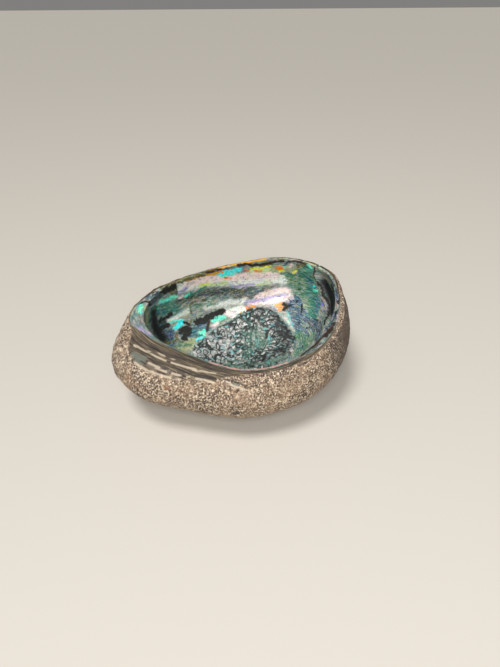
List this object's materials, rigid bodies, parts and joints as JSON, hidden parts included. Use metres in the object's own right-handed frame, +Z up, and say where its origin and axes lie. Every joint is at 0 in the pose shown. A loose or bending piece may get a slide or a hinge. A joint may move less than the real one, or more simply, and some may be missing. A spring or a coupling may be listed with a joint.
{
  "type": "abalone shell",
  "caption": "Deep ear-shaped abalone shell lying mouth up, with a mother-of-pearl bowl, a thick inner lip, a low spire end, a raised muscle scar and open breathing pores.",
  "frame": {"origin": "on the surface that the shell rests on, under the middle of its box", "axes": "+Z up out of the mouth, +X towards the blunt growing end (the spire is at -X), +Y towards the thin outer lip (the thick inner lip and the pores are at -Y)"},
  "size_m": [0.175, 0.1268, 0.0674],
  "materials": {
    "shell": "rough sandy crust outside, glossy iridescent nacre inside"
  },
  "bodies": {
    "root": {"shell": "shell"}
  },
  "joints": []
}
